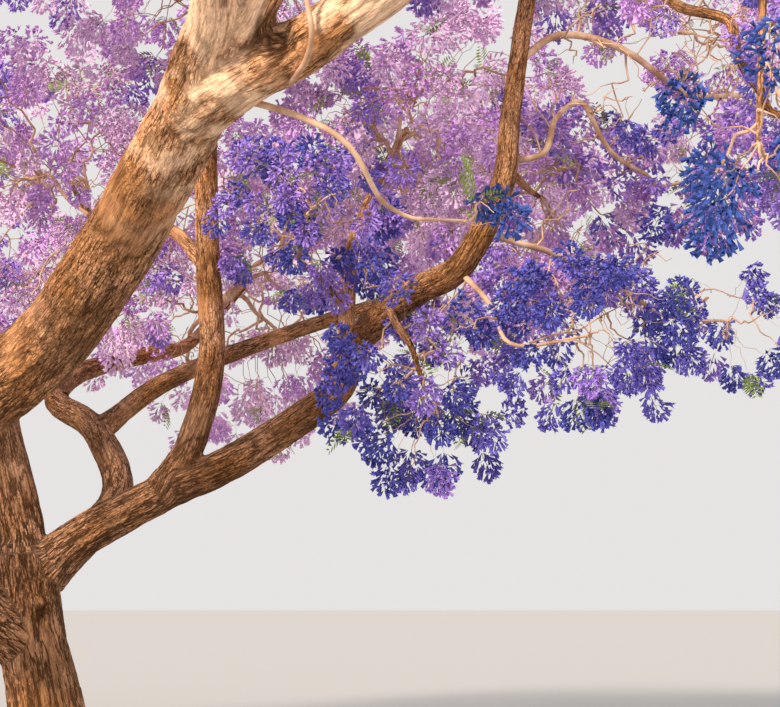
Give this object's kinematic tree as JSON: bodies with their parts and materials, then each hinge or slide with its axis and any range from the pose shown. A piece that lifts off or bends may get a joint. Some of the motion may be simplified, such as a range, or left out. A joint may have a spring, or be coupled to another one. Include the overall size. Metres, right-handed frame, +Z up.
{
  "type": "jacaranda tree",
  "caption": "Spreading jacaranda tree in full blossom: low-forking leaning trunk, long boughs and a domed crown of violet-blue blossom masses.",
  "frame": {"origin": "the middle of the flat cut under the trunk, at ground level", "axes": "+Z is up; +Y points away from the picture's viewer and +X to the viewer's right"},
  "size_m": [13.7778, 14.4158, 8.8414],
  "materials": {
    "bark": "rough, fissured",
    "blossom": "matte petals",
    "twig": "smooth thin bark",
    "leaf": "matte leaflets"
  },
  "bodies": {
    "root": {"arching_right_branch": "bark", "arching_right_mass": "blossom", "back_bough": "bark", "back_left_limb": "bark", "back_left_mass": "blossom", "back_mass": "blossom", "back_right_limb": "bark", "back_right_mass": "blossom", "centre_branch": "bark", "centre_left_branch": "bark", "centre_left_mass": "blossom", "centre_mass": "blossom", "crown_top_back": "blossom", "crown_top_front": "blossom", "crown_top_left": "blossom", "crown_top_right": "blossom", "drooping_right_branch": "bark", "drooping_right_mass": "blossom", "front_left_limb": "bark", "front_left_mass": "blossom", "high_right_branch": "bark", "inner_limb": "bark", "inner_top_mass": "blossom", "left_front_limb": "bark", "left_front_mass": "blossom", "left_limb": "bark", "left_mass": "blossom", "low_far_right_branch": "bark", "low_far_right_mass": "blossom", "low_right_branch": "bark", "low_right_mass": "blossom", "middle_back_mass": "blossom", "middle_stem": "bark", "near_arching_branch": "bark", "near_bough_lower": "bark", "near_bough_upper": "bark", "near_hanging_mass": "blossom", "near_limb_back": "bark", "near_limb_right": "bark", "near_limb_up": "bark", "near_mass": "blossom", "near_right_branch": "bark", "near_right_mass": "blossom", "near_right_top_mass": "blossom", "outer_limb": "bark", "right_bough": "bark", "right_mass": "blossom", "trunk": "bark", "upper_right_branch": "bark", "upper_right_mass": "blossom", "upright_limb": "bark", "upright_side_limb": "bark"}
  },
  "joints": []
}
